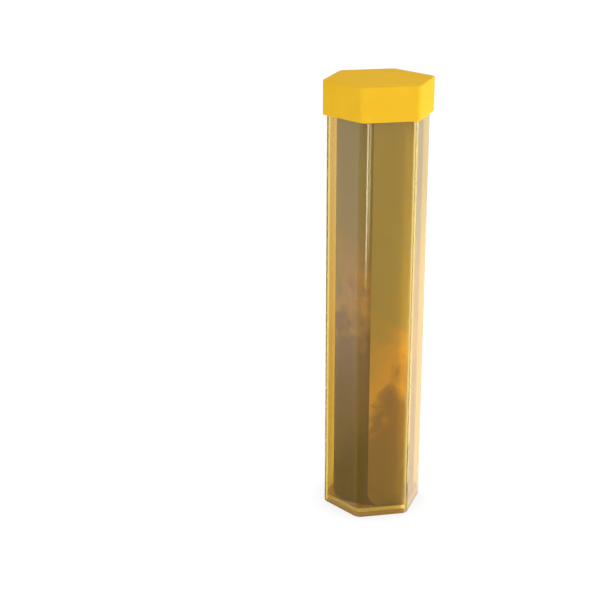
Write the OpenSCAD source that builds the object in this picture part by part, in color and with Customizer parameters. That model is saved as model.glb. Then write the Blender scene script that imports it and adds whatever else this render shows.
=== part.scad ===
// Playmat tube: a clear hexagonal tube with a bonded base plate, a soft push-on cap and a rolled playmat inside.
// Millimetres. +Z runs up the tube. The origin is the middle of the lower rim, and two flats face along Y.

/* [Playmat] */
// Width of the flat mat, which is the length of the roll
mat_w = 356; // [300:1:420]
// Length of the flat mat, which is rolled up
mat_len = 610; // [500:1:700]
// Thickness of the printed cloth face
cloth_t = 0.4; // [0.3:0.1:0.8]
// Thickness of the foam rubber backing
rubber_t = 1.6; // [1.2:0.1:2.4]
// Radius of the mat's four corners
mat_corner_r = 14; // [8:1:18]
// Gap between the turns of the roll
turn_gap = 0.3; // [0.2:0.1:0.6]
// Gap between the roll and the flats of the tube
roll_clearance = 0.3; // [0.3:0.1:2]
// How far the outer turn springs out into the tube's corners
corner_spring = 1.8; // [0:0.1:2.2]
// Angle from the free end over which that spring dies away
spring_turn = 200; // [120:10:300]
// Direction in which the mat's free end lies, seen from above
free_end_angle = -110; // [-180:1:180]

/* [Tube] */
// Width of the tube across its flats
tube_af = 75; // [70:0.5:86]
// Thickness of the tube's wall
tube_wall = 3; // [2:0.25:4]
// Outer radius of the tube's long edges
tube_corner_r = 7.5; // [5:0.5:9]
// Space left above the mat, under the cap
headroom = 3.5; // [2:0.5:8]

/* [Base plate] */
// Thickness of the base plate
base_t = 4; // [2:0.5:6]
// Height of the plate's lower face above the rim
base_recess = 3.5; // [1:0.5:6]
// Bond line between the plate and the wall
bond_gap = 0.05; // [0.05:0.05:0.2]

/* [Cap] */
// Thickness of the cap's top
cap_top_t = 3; // [2:0.5:5]
// Thickness of the cap's skirt
cap_wall = 2.25; // [2:0.25:4]
// Length of the skirt that covers the tube
skirt_len = 25; // [16:1:40]
// Gap between the skirt and the tube
skirt_clearance = 0.5; // [0.4:0.1:0.8]
// Outer radius of the cap's upright edges
cap_corner_r = 6; // [4:0.5:9]
// Radius of the rounded edge round the top
cap_edge_r = 1.2; // [0.6:0.1:2]
// Radius of the rounded edge round the mouth
mouth_edge_r = 0.6; // [0.3:0.1:1]
// Width of the chamfer that leads the tube into the mouth
lead_in = 0.8; // [0.4:0.1:1.2]
// Number of grip bands inside the skirt
band_count = 2; // [1:1:3]
// Width of a grip band
band_w = 2; // [1:0.5:3]
// Gap between the grip bands and the tube
band_clearance = 0.2; // [0.1:0.05:0.3]

/* [Hidden] */
$fn = 64;
hull_fn = 36;
sides = 6;
half_side = 180 / sides;
cut_over = 1;

inner_af = tube_af - 2 * tube_wall;
inner_corner_r = tube_corner_r - tube_wall;
floor_z = base_recess + base_t;
tube_len = floor_z + mat_w + headroom;

skirt_af = tube_af + 2 * skirt_clearance;
skirt_corner_r = tube_corner_r + skirt_clearance;
cap_af = skirt_af + 2 * cap_wall;
cap_h = skirt_len + cap_top_t;
mouth_z = tube_len - skirt_len;
band_af = tube_af + 2 * band_clearance;
band_pitch = skirt_len / (band_count + 1);

mat_t = cloth_t + rubber_t;
roll_r = inner_af / 2 - roll_clearance;
turn_pitch = mat_t + turn_gap;
mid_r = roll_r - mat_t / 2;
// Length that the spring adds: a quarter of it on average, as it comes and goes with the corners and dies away
spring_len = corner_spring / 4 * spring_turn * PI / 180;
// Turns that take up the rest of the mat's length along the middle of its thickness
turns = (mid_r - sqrt(mid_r ^ 2 - (mat_len - spring_len) * turn_pitch / PI)) / turn_pitch;
end_turn = 360 * turns;
core_mid_r = mid_r - turn_pitch * turns;
facet_turn = 6;
corner_step = 9;

function at(angle, radius) = radius * [cos(angle), sin(angle)];
// Arc centre of corner k of a hexagon that is af across its flats and rounded to the radius r
function arc_centre(af, r, k) = at(2 * half_side * k, (af / 2 - r) / cos(half_side));
// Share of the spring at an angle from the free end: none against a flat, and all of it in a corner
function spring_share(turn) =
    (1 - cos(sides * (free_end_angle + turn - half_side))) / 2 * max(0, 1 - turn / spring_turn);
// Outer radius of the roll after turning by an angle from its free end
function roll_radius(turn) = roll_r - turn_pitch * turn / 360 + corner_spring * spring_share(turn);

// The child at the arc centre of each corner of a rounded hexagon
module at_corners(af, r) {
    for (k = [0 : sides - 1])
        translate(arc_centre(af, r, k)) children();
}

// A hexagon of the width af across its flats, with its corners rounded to the radius r
module rounded_hex(af, r) {
    polygon([
        for (k = [0 : sides - 1], side = [-1, 1])
            arc_centre(af, r, k) + at(half_side * (2 * k + side), r)
    ]);
    at_corners(af, r) circle(r);
}

// A band of the roll, between two depths under its outer face, from one turn angle to another
module roll_band(outer_depth, inner_depth, from_turn, to_turn) {
    steps = ceil((to_turn - from_turn) / facet_turn);
    turn_list = [for (i = [0 : steps]) from_turn + (to_turn - from_turn) * i / steps];
    polygon(concat(
        [for (turn = turn_list) at(turn, roll_radius(turn) - outer_depth)],
        [for (i = [steps : -1 : 0]) at(turn_list[i], roll_radius(turn_list[i]) - inner_depth)]
    ));
}

// What is trimmed from a corner of the mat: all that lies outside its arc, seen along the radius
module corner_offcut() {
    over = mat_corner_r / 2;
    polygon(concat(
        [for (a = [0 : corner_step : 90]) mat_corner_r * [-sin(a), 1 - cos(a)]],
        [[-mat_corner_r - over, mat_corner_r], [-mat_corner_r - over, -over], [0, -over]]
    ));
}

// One end of a layer of the roll, with its two corners trimmed; the arcs start at arc_turn
module end_strip(outer_depth, inner_depth, from_turn, to_turn, arc_turn, inner_end) {
    difference() {
        linear_extrude(mat_w)
            roll_band(outer_depth, inner_depth, from_turn, to_turn);
        rotate(arc_turn)
            mirror([0, inner_end])
                for (top = [0, 1])
                    translate([0, 0, top * mat_w])
                        mirror([0, 0, top])
                            rotate([90, 0, 90])
                                linear_extrude(roll_r + cut_over) corner_offcut();
    }
}

// One layer of the rolled mat
module roll_layer(outer_depth, inner_depth) {
    first_turn = asin(mat_corner_r / (roll_radius(0) - mat_t / 2));
    last_turn = end_turn - asin(mat_corner_r / core_mid_r);
    // The strips run on past the arcs, so that no arc starts in a joint face
    first_joint = first_turn + facet_turn;
    last_joint = last_turn - facet_turn;
    translate([0, 0, floor_z])
        rotate(free_end_angle) {
            end_strip(outer_depth, inner_depth, 0, first_joint, first_turn, 0);
            linear_extrude(mat_w)
                roll_band(outer_depth, inner_depth, first_joint, last_joint);
            end_strip(outer_depth, inner_depth, last_joint, end_turn, last_turn, 1);
        }
}

// Outside of the cap, rounded at the corners, round the top and round the mouth
module cap_outside() {
    hull()
        at_corners(cap_af, cap_corner_r)
            rotate_extrude($fn = hull_fn) {
                translate([cap_corner_r - cap_edge_r, cap_h - cap_edge_r])
                    circle(cap_edge_r, $fn = hull_fn);
                translate([cap_corner_r - mouth_edge_r, mouth_edge_r])
                    circle(mouth_edge_r, $fn = hull_fn);
            }
}

// Inside of the cap: the sleeve for the tube, narrowed by the grip bands and flared at the mouth
module cap_inside() {
    linear_extrude(skirt_len - cut_over)
        rounded_hex(band_af, tube_corner_r);
    for (i = [0 : band_count]) {
        low = i == 0 ? -cut_over : band_pitch * i + band_w / 2;
        high = i == band_count ? skirt_len : band_pitch * (i + 1) - band_w / 2;
        translate([0, 0, low])
            linear_extrude(high - low)
                rounded_hex(skirt_af, skirt_corner_r);
    }
    flare = lead_in + cut_over;
    hull()
        at_corners(skirt_af, skirt_corner_r)
            translate([0, 0, -cut_over])
                cylinder(r1 = skirt_corner_r + flare, r2 = skirt_corner_r, h = flare, $fn = hull_fn);
}

// Clear extruded tube, open at both ends
module hex_tube() {
    color([0.93, 0.78, 0.3, 0.45])
        linear_extrude(tube_len)
            difference() {
                rounded_hex(tube_af, tube_corner_r);
                rounded_hex(inner_af, inner_corner_r);
            }
}

// Clear plate bonded inside the foot of the tube
module base_plate() {
    color([0.9, 0.74, 0.28, 0.5])
        translate([0, 0, base_recess])
            linear_extrude(base_t)
                rounded_hex(inner_af - 2 * bond_gap, inner_corner_r - bond_gap);
}

// Foam rubber backing, on the inside of each turn
module mat_rubber() {
    color([0.08, 0.08, 0.09])
        roll_layer(cloth_t, mat_t);
}

// Printed cloth face, on the outside of each turn
module mat_cloth() {
    color([0.5, 0.43, 0.3])
        roll_layer(0, cloth_t);
}

// Soft push-on cap, a sleeve over the tube's upper end
module cap() {
    color([0.96, 0.77, 0.16])
        translate([0, 0, mouth_z])
            difference() {
                cap_outside();
                cap_inside();
            }
}

hex_tube();
base_plate();
mat_rubber();
mat_cloth();
cap();
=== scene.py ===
"""Looks of the playmat tube: clear tinted tube and floor, soft cap, rolled printed mat, lamps, camera."""

import math

import bpy
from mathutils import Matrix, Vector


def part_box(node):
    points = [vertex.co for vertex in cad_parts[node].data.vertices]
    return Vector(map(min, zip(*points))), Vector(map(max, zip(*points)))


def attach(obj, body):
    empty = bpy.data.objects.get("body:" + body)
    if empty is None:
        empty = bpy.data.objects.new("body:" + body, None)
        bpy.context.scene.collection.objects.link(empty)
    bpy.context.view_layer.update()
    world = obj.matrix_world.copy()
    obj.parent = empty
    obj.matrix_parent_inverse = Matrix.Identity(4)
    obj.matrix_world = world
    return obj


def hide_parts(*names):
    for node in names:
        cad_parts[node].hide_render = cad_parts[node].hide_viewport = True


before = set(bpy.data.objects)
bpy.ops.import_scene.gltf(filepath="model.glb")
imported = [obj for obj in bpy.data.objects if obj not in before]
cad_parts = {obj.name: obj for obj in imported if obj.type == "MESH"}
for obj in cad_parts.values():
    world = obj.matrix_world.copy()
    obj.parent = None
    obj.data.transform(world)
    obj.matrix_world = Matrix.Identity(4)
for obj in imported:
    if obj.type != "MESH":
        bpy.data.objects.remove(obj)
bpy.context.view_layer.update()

MM = 0.001
SIDES = 6
SIDE_TURN = 360 / SIDES
COS30 = math.cos(math.radians(SIDE_TURN / 2))
SIN30 = 0.5

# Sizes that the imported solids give
tube_low, tube_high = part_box("hex_tube")
base_low, base_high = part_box("base_plate")
cap_low, cap_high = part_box("cap")
mat_low, mat_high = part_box("mat_cloth")


def hex_size(low, high):
    """Half the width across flats and the corner radius of a rounded hexagon, from its box."""
    half_flats = (high.y - low.y) / 2
    half_corners = (high.x - low.x) / 2
    return half_flats, (half_flats / COS30 - half_corners) / (1 / COS30 - 1)


TUBE_HALF, TUBE_R = hex_size(tube_low, tube_high)
BASE_HALF, BASE_R = hex_size(base_low, base_high)
CAP_HALF, CAP_R = hex_size(cap_low, cap_high)
TUBE_TOP = tube_high.z

# Sizes that the boxes do not give
WALL = 3 * MM
SKIRT_CLEARANCE = 0.5 * MM
BAND_HEIGHT = 0.3 * MM
BAND_WIDTH = 2 * MM
BAND_COUNT = 2
LEAD_IN = 0.8 * MM
CAP_EDGE = 1.2 * MM
MOUTH_EDGE = 0.6 * MM
INNER_FILLET = 1.0 * MM
TUBE_EDGE = 0.35 * MM
BASE_EDGE = 0.3 * MM
# Power that makes the rounded section of a grip band fuller
BAND_POWER = 0.7

# The mat, laid flat, and how it is rolled
MAT_LENGTH = 610 * MM
CLOTH_T = 0.4 * MM
RUBBER_T = 1.6 * MM
MAT_CORNER = 14 * MM
TURN_GAP = 0.3 * MM
ROLL_CLEARANCE = 0.3 * MM
FREE_END = math.radians(-110)
CORNER_SPRING = 1.8 * MM
SPRING_TURN = math.radians(200)
MAT_WIDTH = mat_high.z - mat_low.z
MAT_T = CLOTH_T + RUBBER_T
PITCH = MAT_T + TURN_GAP
ROLL_R = TUBE_HALF - WALL - ROLL_CLEARANCE

# Mesh fineness
ARC_STEPS = 40
FILLET_STEPS = 5
BAND_STEPS = 4
STATION = 1.5 * MM
CORNER_STATIONS = 12
MAT_ROWS = 24
ROLL_STEP = math.radians(0.1)

# Angles in degrees from which an edge is shaded hard, and the weight of large faces in the normals
HARD_EDGE = 40
CAP_HARD_EDGE = 50
FLAT_WEIGHT = 100


# Mesh helpers

def make_object(name, verts, faces):
    mesh = bpy.data.meshes.new(name)
    mesh.from_pydata(verts, [], faces)
    mesh.validate()
    obj = bpy.data.objects.new(name, mesh)
    bpy.context.scene.collection.objects.link(obj)
    return obj


def smooth(obj, degrees):
    """Smooth shading, with edges sharper than the angle kept hard."""
    obj.data.shade_smooth()
    obj.data.set_sharp_from_angle(angle=math.radians(degrees))


def keep_flats(obj):
    """Normals that follow the larger faces, so that a flat beside a rounded edge is shaded flat."""
    normals = obj.modifiers.new("flat_faces", "WEIGHTED_NORMAL")
    normals.keep_sharp = True
    normals.weight = FLAT_WEIGHT


def hex_ring(half, radius, z):
    """Points of a rounded hexagon at the height z."""
    centre_r = (half - radius) / COS30
    ring = []
    for corner in range(SIDES):
        middle = math.radians(SIDE_TURN * corner)
        for step in range(ARC_STEPS + 1):
            angle = middle + math.radians(SIDE_TURN * step / ARC_STEPS - SIDE_TURN / 2)
            x = centre_r * math.cos(middle) + radius * math.cos(angle)
            y = centre_r * math.sin(middle) + radius * math.sin(angle)
            ring.append((x, y, z))
    return ring


def loft(name, rings, closed):
    """A skin over the rings: joined end to end if closed, otherwise with both ends filled."""
    count = len(rings[0])
    verts = [point for ring in rings for point in ring]
    faces = []
    last = len(rings) if closed else len(rings) - 1
    for i in range(last):
        a, b = i * count, (i + 1) % len(rings) * count
        for j in range(count):
            k = (j + 1) % count
            faces.append((a + j, a + k, b + k, b + j))
    if not closed:
        faces.append(tuple(reversed(range(count))))
        faces.append(tuple(range((len(rings) - 1) * count, len(rings) * count)))
    return make_object(name, verts, faces)


def arc(centre, radius, start, end):
    """(outward, height) points of a fillet, from one angle to another, in degrees."""
    points = []
    for step in range(FILLET_STEPS + 1):
        angle = math.radians(start + (end - start) * step / FILLET_STEPS)
        points.append((centre[0] + radius * math.cos(angle), centre[1] + radius * math.sin(angle)))
    return points


def rings_along(half, radius, profile):
    """One rounded hexagon for each (outward, height) point, outward counting from the given size."""
    return [hex_ring(half + out, radius + out, z) for out, z in profile]


# Pieces

def make_tube():
    e = TUBE_EDGE
    top, low = TUBE_TOP, tube_low.z
    outside = arc((-e, low + e), e, -90, 0) + arc((-e, top - e), e, 0, 90)
    inside = arc((e, top - e), e, 90, 180) + arc((e, low + e), e, 180, 270)
    rings = rings_along(TUBE_HALF, TUBE_R, outside)
    rings += rings_along(TUBE_HALF - WALL, TUBE_R - WALL, inside)
    obj = loft("tube_shell", rings, closed=True)
    smooth(obj, HARD_EDGE)
    keep_flats(obj)
    return obj


def make_base():
    e = BASE_EDGE
    profile = arc((-e, base_low.z + e), e, -90, 0) + arc((-e, base_high.z - e), e, 0, 90)
    obj = loft("floor_plate", rings_along(BASE_HALF, BASE_R, profile), closed=False)
    smooth(obj, HARD_EDGE)
    keep_flats(obj)
    return obj


def make_cap():
    skirt_half, skirt_r = TUBE_HALF + SKIRT_CLEARANCE, TUBE_R + SKIRT_CLEARANCE
    mouth, top, under = cap_low.z, cap_high.z, TUBE_TOP
    outside = arc((-CAP_EDGE, top - CAP_EDGE), CAP_EDGE, 90, 0)
    outside += arc((-MOUTH_EDGE, mouth + MOUTH_EDGE), MOUTH_EDGE, 0, -90)
    inside = [(LEAD_IN, mouth), (0, mouth + LEAD_IN)]
    for band in range(1, BAND_COUNT + 1):
        middle = mouth + (under - mouth) * band / (BAND_COUNT + 1)
        for step in range(-BAND_STEPS, BAND_STEPS + 1):
            share = step / BAND_STEPS
            height = BAND_HEIGHT * math.cos(share * math.pi / 2) ** BAND_POWER
            inside.append((-height, middle + share * BAND_WIDTH / 2))
    inside += arc((-INNER_FILLET, under - INNER_FILLET), INNER_FILLET, 0, 90)
    rings = rings_along(CAP_HALF, CAP_R, outside) + rings_along(skirt_half, skirt_r, inside)
    obj = loft("cap_moulding", rings, closed=False)
    smooth(obj, CAP_HARD_EDGE)
    keep_flats(obj)
    return obj


def roll_radius(turn):
    """Outer radius of the roll, which springs out into the tube's corners over its outermost turn."""
    into_corner = (1 - math.cos(SIDES * (FREE_END + turn) - math.pi)) / 2
    spring = CORNER_SPRING * into_corner * max(0, 1 - turn / SPRING_TURN)
    return ROLL_R - PITCH * turn / (2 * math.pi) + spring


def roll_turns(lengths):
    """Angles turned from the free end after each of the rising lengths of mat."""
    turn, run, turns = 0.0, 0.0, []
    for length in lengths:
        while run < length:
            run += ROLL_STEP * (roll_radius(turn) - MAT_T / 2)
            turn += ROLL_STEP
        turns.append(turn)
    return turns


def stations():
    """Lengths along the mat at which it has a row of points, closer together at its rounded corners."""
    quarter = [math.pi / 2 * i / CORNER_STATIONS for i in range(CORNER_STATIONS)]
    corner = [MAT_CORNER * (1 - math.cos(angle)) for angle in quarter]
    middle_length = MAT_LENGTH - 2 * MAT_CORNER
    steps = round(middle_length / STATION)
    middle = [MAT_CORNER + middle_length * i / steps for i in range(steps + 1)]
    return corner + middle + [MAT_LENGTH - s for s in reversed(corner)]


def corner_trim(length):
    """How much of the mat's edge its rounded corners take off at a length along it."""
    into = max(MAT_CORNER - length, MAT_CORNER - (MAT_LENGTH - length), 0)
    return MAT_CORNER - math.sqrt(max(MAT_CORNER ** 2 - into ** 2, 0))


def make_mat_layer(name, outer_depth, inner_depth):
    """A layer of the rolled mat between two depths under its outer face. Its UV map is the flat mat."""
    rows = MAT_ROWS + 1
    verts, coords = [], []
    along = stations()
    turns = roll_turns(along)
    for depth in (outer_depth, inner_depth):
        for s, turn in zip(along, turns):
            radius = roll_radius(turn) - depth
            trim = corner_trim(s)
            for row in range(rows):
                z = trim + (MAT_WIDTH - 2 * trim) * row / MAT_ROWS
                x = radius * math.cos(FREE_END + turn)
                y = radius * math.sin(FREE_END + turn)
                verts.append((x, y, mat_low.z + z))
                coords.append((s / MAT_LENGTH, z / MAT_LENGTH))
    inner = len(along) * rows
    faces = []
    for i in range(len(along) - 1):
        for j in range(MAT_ROWS):
            a = i * rows + j
            b = a + rows
            faces.append((a, b, b + 1, a + 1))
            faces.append((inner + a, inner + a + 1, inner + b + 1, inner + b))
        low, high = i * rows, i * rows + MAT_ROWS
        faces.append((low, inner + low, inner + low + rows, low + rows))
        faces.append((high, high + rows, inner + high + rows, inner + high))
    for j in range(MAT_ROWS):
        end = (len(along) - 1) * rows + j
        faces.append((j, j + 1, inner + j + 1, inner + j))
        faces.append((end, inner + end, inner + end + 1, end + 1))
    obj = make_object(name, verts, faces)
    layer = obj.data.uv_layers.new(name="flat_mat")
    for loop in obj.data.loops:
        layer.data[loop.index].uv = coords[loop.vertex_index]
    smooth(obj, HARD_EDGE)
    return obj


# Node helpers

def add(tree, kind, inputs=None, **settings):
    """A node with its settings, and its inputs set to values or linked to sockets."""
    made = tree.nodes.new(kind)
    for name, value in settings.items():
        setattr(made, name, value)
    for name, value in (inputs or {}).items():
        if isinstance(value, bpy.types.NodeSocket):
            tree.links.new(value, made.inputs[name])
        else:
            made.inputs[name].default_value = value
    return made


def new_material(name):
    """An empty node material, with its tree and output node."""
    material = bpy.data.materials.new(name)
    material.use_nodes = True
    tree = material.node_tree
    tree.nodes.clear()
    return material, tree, tree.nodes.new("ShaderNodeOutputMaterial")


def maths(tree, operation, *values):
    """The result of a sum on numbers or sockets."""
    return add(tree, "ShaderNodeMath", dict(enumerate(values)), operation=operation).outputs["Value"]


def scaled(tree, vector, factor):
    """A vector times a number."""
    made = add(tree, "ShaderNodeVectorMath", {0: vector, "Scale": factor}, operation="SCALE")
    return made.outputs["Vector"]


def dot(tree, vector, direction):
    """How far a vector goes along a direction."""
    made = add(tree, "ShaderNodeVectorMath", {0: vector, 1: direction}, operation="DOT_PRODUCT")
    return made.outputs["Value"]


def ramp(tree, factor, stops):
    """A colour ramp with (position, colour) stops."""
    made = add(tree, "ShaderNodeValToRGB", {"Fac": factor})
    elements = made.color_ramp.elements
    while len(elements) < len(stops):
        elements.new(1.0)
    for element, (position, colour) in zip(elements, stops):
        element.position = position
        element.color = (*colour, 1)
    return made.outputs["Color"]


def span(tree, factor, low, high):
    """A 0 to 1 value, spread from low to high."""
    made = add(tree, "ShaderNodeMapRange", {"Value": factor, "To Min": low, "To Max": high})
    return made.outputs["Result"]


def fade(tree, value, ends):
    """0 at the first of two values and 1 at the second, even between them."""
    made = add(tree, "ShaderNodeMapRange", {"Value": value, "From Min": ends[0], "From Max": ends[1]})
    return made.outputs["Result"]


def object_noise(tree, scale, stretch=(1, 1, 1), detail=3.0):
    """Noise in the object's own metres, with about scale features to the metre."""
    place = add(tree, "ShaderNodeTexCoord").outputs["Object"]
    mapped = add(tree, "ShaderNodeMapping", {"Vector": place, "Scale": stretch}).outputs["Vector"]
    made = add(tree, "ShaderNodeTexNoise", {"Vector": mapped, "Scale": scale, "Detail": detail})
    return made.outputs["Fac"]


def bumped(tree, height, strength, depth):
    """A normal that is tilted by the slopes of the height."""
    made = add(tree, "ShaderNodeBump", {"Height": height, "Strength": strength, "Distance": depth})
    return made.outputs["Normal"]


def mix(tree, share, first, second):
    """The first shader where the share is 0, and the second where it is 1."""
    return add(tree, "ShaderNodeMixShader", {0: share, 1: first, 2: second}).outputs["Shader"]


def emission(tree, colour, strength=1.0):
    return add(tree, "ShaderNodeEmission", {"Color": colour, "Strength": strength}).outputs["Emission"]


def set_surface(tree, output, inputs):
    """A principled surface on a material's output."""
    surface = add(tree, "ShaderNodeBsdfPrincipled", inputs)
    tree.links.new(surface.outputs["BSDF"], output.inputs["Surface"])


# Materials

PLASTIC_IOR = 1.5
# Tint of the clear plastic at its faces, and what it lets through in its depth
FACE_TINT = (0.88, 0.67, 0.19, 1)
DEPTH_TINT = (0.98, 0.93, 0.0, 1)
DEPTH_DENSITY = 25.0


def clear_plastic():
    """Polished clear plastic, tinted yellow, with a trace of haze and faint draw lines along the tube."""
    material, tree, output = new_material("clear_plastic")
    lines = object_noise(tree, scale=60, stretch=(8, 8, 0.02))
    haze = object_noise(tree, scale=90)
    set_surface(tree, output, {
        "Base Color": FACE_TINT, "Roughness": span(tree, haze, 0.0, 0.03), "IOR": PLASTIC_IOR,
        "Transmission Weight": 0.98, "Normal": bumped(tree, lines, strength=0.01, depth=0.2 * MM),
    })
    depth = add(tree, "ShaderNodeVolumeAbsorption", {"Color": DEPTH_TINT, "Density": DEPTH_DENSITY})
    tree.links.new(depth.outputs["Volume"], output.inputs["Volume"])
    return material


def bonded_edge():
    """Cement line round the floor plate: hazy, with small streaks."""
    material, tree, output = new_material("bonded_edge")
    streaks = object_noise(tree, scale=120, stretch=(1, 1, 0.2))
    colour = ramp(tree, streaks, [(0.3, (0.88, 0.94, 0.72)), (0.7, (0.95, 0.97, 0.85))])
    set_surface(tree, output, {"Base Color": colour, "Roughness": 0.5, "IOR": PLASTIC_IOR})
    return material


def cap_plastic():
    """Soft opaque plastic with a fine moulded grain."""
    material, tree, output = new_material("cap_plastic")
    cloud = object_noise(tree, scale=55, detail=5.0)
    grain = object_noise(tree, scale=2600, detail=2.0)
    set_surface(tree, output, {
        "Base Color": ramp(tree, cloud, [(0.3, (0.88, 0.51, 0.022)), (0.7, (0.92, 0.535, 0.028))]),
        "Roughness": span(tree, cloud, 0.58, 0.7), "IOR": 1.48, "Specular IOR Level": 0.02,
        "Normal": bumped(tree, grain, strength=0.25, depth=0.06 * MM),
    })
    return material


# How far the print's smoke is warped, and the direction and the heights in which it goes from dark to pale
PRINT_WARP = 0.16
PRINT_RISE = (-0.15, 1, 0)
PRINT_HEIGHTS = (0.06, 0.42)
# Painted shade round the roll: length of mat after which it comes back, its least and most, and the shift
# of tone with it
PAINTED_SHADE_WAVE = 380 * MM
PAINTED_SHADE_LIMITS = (0.65, 1.05)
PAINTED_SHADE_DRIFT = 0.06


def mat_print():
    """Printed knit: smoky marbling from umber through amber to grey, with a fine weave, and painted shade
    along the roll.
    """
    material, tree, output = new_material("mat_print")
    flat = add(tree, "ShaderNodeUVMap", uv_map="flat_mat").outputs["UV"]
    metres = scaled(tree, flat, MAT_LENGTH)
    warp = add(tree, "ShaderNodeTexNoise", {"Vector": metres, "Scale": 7.0, "Detail": 4.0}).outputs["Color"]
    moved = {0: metres, 1: scaled(tree, warp, PRINT_WARP)}
    warped = add(tree, "ShaderNodeVectorMath", moved, operation="ADD").outputs["Vector"]
    smoke = add(tree, "ShaderNodeTexNoise", {
        "Vector": warped, "Scale": 14.0, "Detail": 8.0, "Roughness": 0.6,
    }).outputs["Fac"]
    level = fade(tree, dot(tree, warped, PRINT_RISE), PRINT_HEIGHTS)
    marbled = maths(tree, "ADD", level, span(tree, smoke, -0.4, 0.4))
    # Painted shade: lighter at the free end and darker half a wave along the roll, with the tone shifting
    # with it
    along = add(tree, "ShaderNodeSeparateXYZ", {"Vector": metres}).outputs["X"]
    painted_wave = maths(tree, "COSINE", maths(tree, "MULTIPLY", along, 2 * math.pi / PAINTED_SHADE_WAVE))
    painted_shade = add(tree, "ShaderNodeMapRange", {
        "Value": painted_wave, "From Min": -1.0, "To Min": PAINTED_SHADE_LIMITS[0], "To Max": PAINTED_SHADE_LIMITS[1],
    }).outputs["Result"]
    tone = maths(tree, "MULTIPLY_ADD", painted_wave, PAINTED_SHADE_DRIFT, marbled)
    colour = ramp(tree, tone, [
        (0.0, (0.23, 0.19, 0.11)), (0.1, (0.34, 0.27, 0.13)), (0.28, (0.42, 0.285, 0.13)),
        (0.38, (1.0, 0.72, 0.08)), (0.5, (0.65, 0.595, 0.32)), (0.68, (0.56, 0.58, 0.46)),
    ])
    weave = add(tree, "ShaderNodeTexChecker", {"Vector": metres, "Scale": 2200.0}).outputs["Fac"]
    set_surface(tree, output, {
        "Base Color": scaled(tree, colour, painted_shade), "Roughness": 0.8,
        "Normal": bumped(tree, weave, strength=0.3, depth=0.1 * MM),
    })
    return material


def foam_rubber():
    """Black foam rubber with fine open cells."""
    material, tree, output = new_material("foam_rubber")
    place = add(tree, "ShaderNodeTexCoord").outputs["Object"]
    cells = add(tree, "ShaderNodeTexVoronoi", {"Vector": place, "Scale": 1500.0}).outputs["Distance"]
    cloud = object_noise(tree, scale=700)
    set_surface(tree, output, {
        "Base Color": ramp(tree, cloud, [(0.3, (0.012, 0.012, 0.013)), (0.7, (0.03, 0.03, 0.032))]),
        "Roughness": 0.75, "Normal": bumped(tree, cells, strength=0.5, depth=0.15 * MM),
    })
    return material


# Stage

def seen_directly(tree):
    """1 for what the camera sees itself, mirrored or through the plastic, and 0 for light on surfaces."""
    path = add(tree, "ShaderNodeLightPath").outputs
    mirrored = maths(tree, "MAXIMUM", path["Is Camera Ray"], path["Is Glossy Ray"])
    return maths(tree, "MAXIMUM", mirrored, path["Is Transmission Ray"])


# The floor: half its width, and its grey as it lights the object and as it is seen
FLOOR_HALF = 6.0
FLOOR_LIT = (0.85, 0.85, 0.85, 1)
FLOOR_SEEN = (0.12, 0.12, 0.12, 1)
# Reach of the painted shadow round the tube's foot, which occlusion darkens into the floor's glow
PAINTED_SHADOW_REACH = 0.025
FOOT_SAMPLES = 8
# The floor's glow with its painted shadow from the foot outwards: faint for the camera and on the painted
# lit side, and tinted amber as the plastic shows it
FAINT_PAINTED_SHADOW = [(0.0, (0.7, 0.7, 0.7)), (1.0, (0.94, 0.94, 0.94))]
TINTED_PAINTED_SHADOW = [(0.0, (0.28, 0.17, 0.035)), (0.9, (0.94, 0.94, 0.94))]
# Painted light: direction in which the floor is lit up to the tube's foot and keeps only the faint painted
# shadow, and where that starts and is full
PAINTED_LIT_SIDE = (COS30, -SIN30, 0.0)
PAINTED_LIT_EDGE = (TUBE_HALF - 4 * MM, TUBE_HALF + 1 * MM)


def make_floor():
    half = FLOOR_HALF
    corners = [(-half, -half, 0), (half, -half, 0), (half, half, 0), (-half, half, 0)]
    floor = make_object("studio_floor", corners, [(0, 1, 2, 3)])
    material, tree, output = new_material("white_floor")
    lit = add(tree, "ShaderNodeBsdfDiffuse", {"Color": FLOOR_LIT}).outputs["BSDF"]
    shaded = add(tree, "ShaderNodeBsdfDiffuse", {"Color": FLOOR_SEEN}).outputs["BSDF"]
    # Painted shadow: occlusion round the tube's foot darkens the floor's glow, on top of the real shade of
    # its thin diffuse part
    near = add(tree, "ShaderNodeAmbientOcclusion", {"Distance": PAINTED_SHADOW_REACH}, samples=FOOT_SAMPLES)
    faint = emission(tree, ramp(tree, near.outputs["AO"], FAINT_PAINTED_SHADOW))
    tinted = emission(tree, ramp(tree, near.outputs["AO"], TINTED_PAINTED_SHADOW))
    # Painted light: on that side the floor shows the faint painted shadow instead of the tinted one, also
    # mirrored or seen through the plastic
    place = add(tree, "ShaderNodeTexCoord").outputs["Object"]
    painted_lit_share = fade(tree, dot(tree, place, PAINTED_LIT_SIDE), PAINTED_LIT_EDGE)
    camera = add(tree, "ShaderNodeLightPath").outputs["Is Camera Ray"]
    glow = mix(tree, maths(tree, "MAXIMUM", camera, painted_lit_share), tinted, faint)
    seen = add(tree, "ShaderNodeAddShader", {0: shaded, 1: glow}).outputs["Shader"]
    tree.links.new(mix(tree, seen_directly(tree), lit, seen), output.inputs["Surface"])
    floor.data.materials.append(material)


# Mean of the studio light, and how it grows along X, Y and Z
LIGHT_MEAN = 0.5
LIGHT_SLOPE = (0.0, 0.2, 0.3)
# Colours of the panels
WHITE = (1.0, 1.0, 1.0)
WARM = (1.0, 0.82, 0.42)
PEACH = (1.0, 0.85, 0.72)
CREAM = (1.0, 0.95, 0.72)


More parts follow.
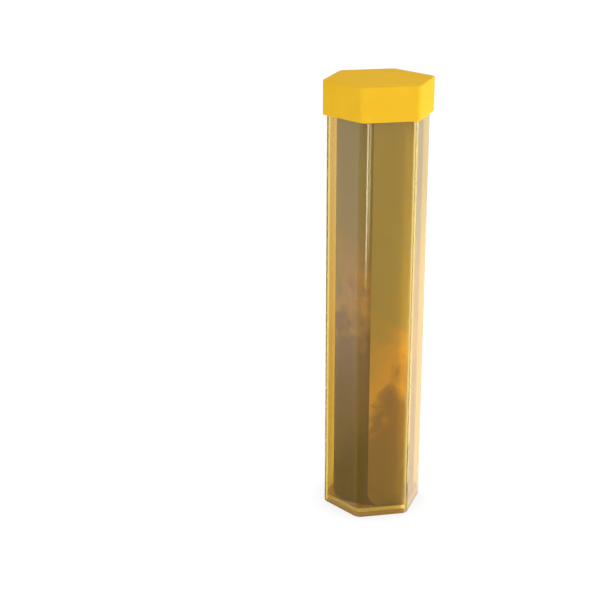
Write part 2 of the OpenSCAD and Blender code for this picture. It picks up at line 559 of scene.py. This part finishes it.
def make_panel(name, azimuth, distance, width, low, high, strength,
               rise=(0.0, 0.3), across=None, shift=0.0, lean=0.0, lights=None, tint=WHITE):
    """A panel that faces the tube. It is mirrored in the plastic, or lights what is outside or inside it.

    It comes in from clear to full between two shares of its height, and of its width where they are given.
    It is moved sideways by the shift, and its foot stands nearer to the tube than its top by the lean.
    """
    angle = math.radians(azimuth)
    left, right = shift - width / 2, shift + width / 2
    corners = [(left, lean, low), (right, lean, low), (right, 0, high), (left, 0, high)]
    panel = make_object(name, corners, [(0, 1, 2, 3)])
    panel.location = (distance * math.cos(angle), distance * math.sin(angle), 0)
    panel.rotation_euler = (0, 0, angle + math.pi / 2)
    material, tree, output = new_material(name)
    place = add(tree, "ShaderNodeTexCoord").outputs["Generated"]
    shares = add(tree, "ShaderNodeSeparateXYZ", {"Vector": place}).outputs
    shown = fade(tree, shares["Z"], rise)
    if across:
        shown = maths(tree, "MULTIPLY", shown, fade(tree, shares["X"], across))
    clear = add(tree, "ShaderNodeBsdfTransparent").outputs["BSDF"]
    glow = emission(tree, (*tint, 1), strength)
    tree.links.new(mix(tree, shown, clear, glow), output.inputs["Surface"])
    panel.data.materials.append(material)
    panel.visible_camera = False
    panel.visible_transmission = lights == "inside"
    panel.visible_shadow = False
    panel.visible_diffuse = lights == "outside"
    panel.visible_glossy = lights is None


def make_world():
    """Soft light on surfaces, and white where the world is seen, also mirrored or through the plastic."""
    world = bpy.data.worlds.new("studio")
    bpy.context.scene.world = world
    world.use_nodes = True
    tree = world.node_tree
    tree.nodes.clear()
    output = tree.nodes.new("ShaderNodeOutputWorld")
    direction = add(tree, "ShaderNodeTexCoord").outputs["Generated"]
    level = maths(tree, "ADD", dot(tree, direction, LIGHT_SLOPE), LIGHT_MEAN)
    soft = add(tree, "ShaderNodeBackground", {"Color": (*WHITE, 1), "Strength": level})
    white = add(tree, "ShaderNodeBackground", {"Color": (*WHITE, 1), "Strength": 1.0})
    both = mix(tree, seen_directly(tree), soft.outputs["Background"], white.outputs["Background"])
    tree.links.new(both, output.inputs["Surface"])


# Camera of the photograph: place, heading clockwise from +Y seen from above, dip, and lens and film in mm
CAMERA_AT = (-0.2674, -1.0643, 0.5661)
CAMERA_HEADING = math.radians(10.81)
CAMERA_DIP = math.radians(19.288)
CAMERA_LENS = 82.97
CAMERA_FILM = 36


def make_camera():
    data = bpy.data.cameras.new("photo_camera")
    data.sensor_width = CAMERA_FILM
    data.lens = CAMERA_LENS
    camera = bpy.data.objects.new("photo_camera", data)
    bpy.context.scene.collection.objects.link(camera)
    camera.location = CAMERA_AT
    camera.rotation_euler = (math.pi / 2 - CAMERA_DIP, 0, -CAMERA_HEADING)
    bpy.context.scene.camera = camera


make_camera()
make_world()
make_floor()

# Lamps for the cap and the floor
make_panel("key_light", azimuth=-104, distance=0.9, width=0.6, low=0.1, high=0.9, strength=3.3,
           lights="outside")
make_panel("side_light", azimuth=5, distance=0.9, width=0.6, low=0.0, high=0.7, strength=5.7,
           lights="outside")

# The bright lines at the left front edge, and the pale sheen on the side faces
make_panel("front_strip", azimuth=-84.3, distance=0.603, width=0.118, low=0.0, high=0.26, strength=12.0,
           tint=CREAM)
make_panel("inner_strip", azimuth=-99, distance=0.062, width=0.0014, low=0.215, high=0.36, strength=7.0,
           rise=(0.0, 0.35), tint=WARM)
make_panel("right_softbox", azimuth=-20, distance=0.85, width=0.79, low=0.0, high=0.7, strength=3.7)
make_panel("left_softbox", azimuth=164, distance=0.3, width=0.11, low=0.0, high=0.34, strength=1.7,
           shift=-0.015)

# Dark cards, which take the white of the studio out of a face
make_panel("front_card", azimuth=-83.2, distance=0.065, width=0.0345, low=0.0, high=0.32, strength=0.4,
           rise=(1.25, 0.0), lean=0.012)
make_panel("left_card", azimuth=189, distance=0.068, width=0.045, low=0.0, high=0.13, strength=0.25,
           rise=(1.0, 0.25), lean=0.018)
make_panel("corner_card", azimuth=-136, distance=0.075, width=0.06, low=0.0, high=0.16, strength=0.15,
           rise=(1.0, 0.25), lean=0.015)
make_panel("strip_card", azimuth=-106.7, distance=0.073, width=0.026, low=0.0, high=0.16, strength=0.15,
           rise=(1.0, 0.25), lean=0.015)
make_panel("edge_card", azimuth=181.6, distance=0.054, width=0.0087, low=0.0, high=0.3, strength=0.3,
           rise=(1.0, 0.3))
make_panel("left_flag", azimuth=125, distance=0.3, width=0.25, low=0.0, high=0.35, strength=0.35)

# The glow of the right face, of its edges and of its foot
make_panel("corner_glow", azimuth=-30, distance=0.15, width=0.22, low=0.0, high=0.27, strength=2.8,
           rise=(1.0, 0.93), across=(0.1, 0.9))
make_panel("line_glow", azimuth=8.5, distance=0.15, width=0.112, low=0.0, high=0.37, strength=7.5,
           rise=(1.0, 0.9), across=(1.3, 0.0), tint=WARM)
make_panel("foot_glow", azimuth=10, distance=0.07, width=0.039, low=0.0, high=0.075, strength=6.0,
           rise=(1.0, 0.2), across=(1.2, 0.0), shift=-0.0215, tint=WARM)
make_panel("foot_card", azimuth=-30, distance=0.06, width=0.125, low=0.0005, high=0.002, strength=1.55,
           rise=(1.0, 0.6), shift=0.035, lean=0.022, tint=PEACH)
make_panel("right_glow", azimuth=48, distance=0.08, width=0.03, low=0.0, high=0.27, strength=1.55,
           rise=(1.0, 0.7), shift=-0.028, lean=0.044, tint=PEACH)

# Lamps for the mat behind the right front edge
make_panel("edge_lamp", azimuth=-58, distance=0.0455, width=0.007, low=0.0, high=0.33, strength=3.3,
           rise=(1.2, 0.25), lights="inside")
make_panel("foot_lamp", azimuth=-60, distance=0.0455, width=0.008, low=0.0, high=0.045, strength=3.5,
           rise=(1.0, 0.3), lights="inside")

# Light paths long enough for the long way through the clear walls
ALL_BOUNCES = 96
CLEAR_BOUNCES = 80
scene = bpy.context.scene
scene.view_settings.view_transform = "Standard"
scene.cycles.max_bounces = ALL_BOUNCES
scene.cycles.glossy_bounces = CLEAR_BOUNCES
scene.cycles.transmission_bounces = CLEAR_BOUNCES

# The floor plate's faces that rise less than this are its bonded edge
EDGE_NORMAL = 0.1
clear = clear_plastic()
tube_shell = make_tube()
floor_plate = make_base()
cap_moulding = make_cap()
mat_face = make_mat_layer("mat_face", 0, CLOTH_T)
mat_foam = make_mat_layer("mat_foam", CLOTH_T, MAT_T)
pieces = [
    (tube_shell, clear, "tube", "hex_tube", "tube_clear"),
    (floor_plate, clear, "tube", "base_plate", "base_clear"),
    (cap_moulding, cap_plastic(), "cap", "cap", "cap_soft"),
    (mat_face, mat_print(), "playmat", "mat_cloth", "mat_print"),
    (mat_foam, foam_rubber(), "playmat", "mat_rubber", "mat_backing"),
]
for piece, material, body, node, slot in pieces:
    piece.data.materials.append(material)
    if piece == floor_plate:
        piece.data.materials.append(bonded_edge())
        for face in piece.data.polygons:
            face.material_index = 1 if abs(face.normal.z) < EDGE_NORMAL else 0
    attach(piece, body)
    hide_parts(node)
